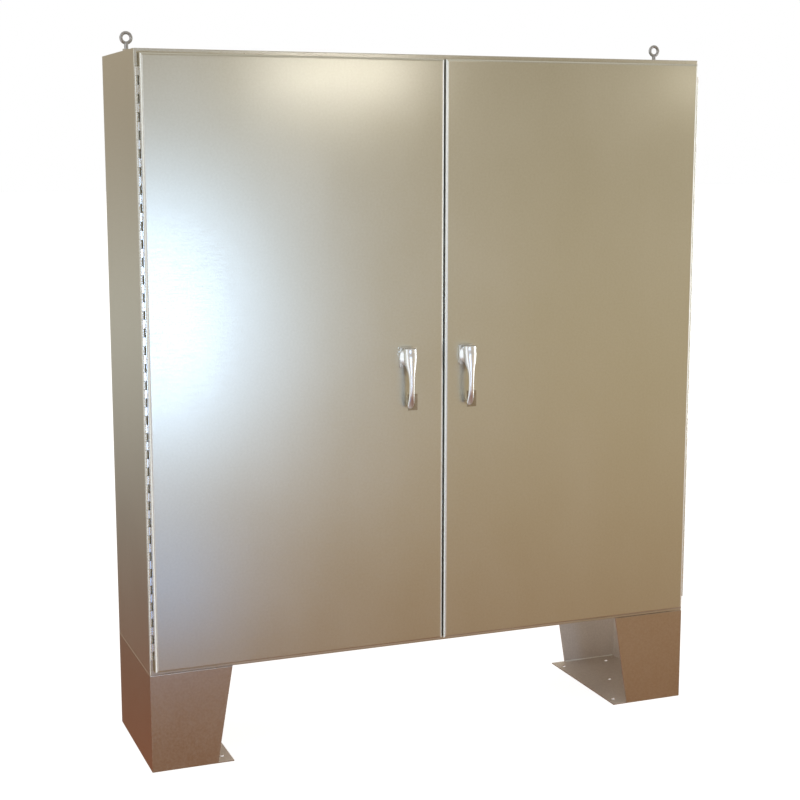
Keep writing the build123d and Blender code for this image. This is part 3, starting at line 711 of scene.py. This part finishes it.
forged_steel = satin_steel("eyebolt_steel", (0.34, 0.34, 0.35), (0.50, 0.50, 0.51), 0.42, 1.5)
eye_low, eye_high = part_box("lifting_eyebolts")
eye_radius, wire_radius, shank_radius = 0.01475, 0.00475, 0.0060
eye_x = eye_low[0] + eye_radius + wire_radius
eye_z = eye_high[2] - eye_radius - wire_radius
neck_rise = 0.002
shank_chamfer = 0.0010
clear_selection()
bpy.ops.mesh.primitive_torus_add(
    location=(eye_x, 0, eye_z),
    rotation=(math.radians(90), 0, 0),
    major_segments=64,
    minor_segments=24,
    major_radius=eye_radius,
    minor_radius=wire_radius,
)
eyebolt = bpy.context.active_object
eyebolt.name = "left_eyebolt_forged"
place_in_mesh(eyebolt)
bpy.ops.mesh.primitive_cylinder_add(
    vertices=48,
    radius=shank_radius,
    depth=eye_z - eye_radius - eye_low[2],
    location=(eye_x, 0, (eye_z - eye_radius + eye_low[2]) / 2),
)
shank = bpy.context.active_object
place_in_mesh(shank)
pick_faces(shank, lambda centre, normal: normal.z > 0.9)
bpy.ops.mesh.extrude_region_move(TRANSFORM_OT_translate={"value": (0, 0, neck_rise)})
bpy.ops.transform.resize(value=(0.8, 0.6, 1), center_override=(eye_x, 0, eye_z))
pick_faces(shank, lambda centre, normal: normal.z < -0.9)
bpy.ops.mesh.bevel(offset=shank_chamfer, segments=1)
bpy.ops.object.mode_set(mode="OBJECT")
forge = eyebolt.modifiers.new("forge", "BOOLEAN")
forge.operation = "UNION"
forge.object = shank
bpy.context.view_layer.objects.active = eyebolt
bpy.ops.object.modifier_apply(modifier="forge")
bpy.data.objects.remove(shank)
clear_selection()
eyebolt.select_set(True)
bpy.ops.object.shade_smooth_by_angle(angle=math.radians(50))
right_eyebolt = twin(eyebolt, "right_eyebolt_forged", (-2 * eye_x, 0, 0))
fit_piece(eyebolt, forged_steel, "fastener_steel", "cabinet", "lifting_eyebolts")
fit_piece(right_eyebolt, forged_steel, "fastener_steel", "cabinet", "lifting_eyebolts")


# ---- Fasteners ----
# Stainless hex bolts, nuts, washers, screws and pins, and studs that are welded to the sheet. They are
# brighter than the sheet round them, and their corners are chamfered.

bolt_steel = satin_steel("bolt_stainless", (0.52, 0.52, 0.51), (0.68, 0.68, 0.67), 0.27, 0.8)
cabinet_fasteners = (
    "eyebolt_nuts",
    "eyebolt_washers",
    "stand_bolts",
    "stand_nuts",
    "centre_post_screws",
    "panel_nuts",
    "panel_studs",
    "earth_stud",
)
for name in cabinet_fasteners:
    fit_piece(formed_copy(name, 0.0005), bolt_steel, "fastener_steel", "cabinet", name)
for side in ("left", "right"):
    side_fasteners = (
        ("escutcheon_nuts", "door", 0.0004),
        ("drive_pins", "handle", 0.0005),
        ("upper_roller_pin", "upper_latch_rod", 0.0004),
        ("lower_roller_pin", "lower_latch_rod", 0.0004),
    )
    for part, body, chamfer in side_fasteners:
        name = f"{side}_{part}"
        fit_piece(formed_copy(name, chamfer), bolt_steel, "fastener_steel", f"{side}_{body}", name)


# ---- Mounting panel ----
# A 3 mm steel plate with returned edges, powder coated white, held off the back sheet on eight collared
# studs. The coating has a fine orange peel.

def powder_coat(name):
    material = bpy.data.materials.new(name)
    material.use_nodes = True
    tree = material.node_tree
    shader = tree.nodes["Principled BSDF"]
    place = tree.nodes.new("ShaderNodeTexCoord")
    peel = place_noise(tree, place, 420, (1, 1, 1), 3)
    dust = place_noise(tree, place, 9, (1, 1, 1), 6)
    colour = blend_colours(tree, spread(tree, dust, 0, 1), (0.79, 0.79, 0.77), (0.84, 0.84, 0.82))
    tree.links.new(colour, shader.inputs["Base Color"])
    tree.links.new(spread(tree, dust, 0.34, 0.46), shader.inputs["Roughness"])
    tree.links.new(raised(tree, peel, 0.18, 0.0004), shader.inputs["Normal"])
    return material


panel_white = powder_coat("mounting_panel_white")
fit_piece(formed_copy("mounting_panel", 0.0010, 3), panel_white, "panel_white", "cabinet", "mounting_panel")


# ---- Data pocket ----
# A tray for drawings, folded from the same stainless sheet as the doors and open at the top. Its back is
# spot-welded to the inside of the left door.

fit_piece(formed_copy("data_pocket", 0.0006), door_steel, "stainless_sheet", "left_door", "data_pocket")
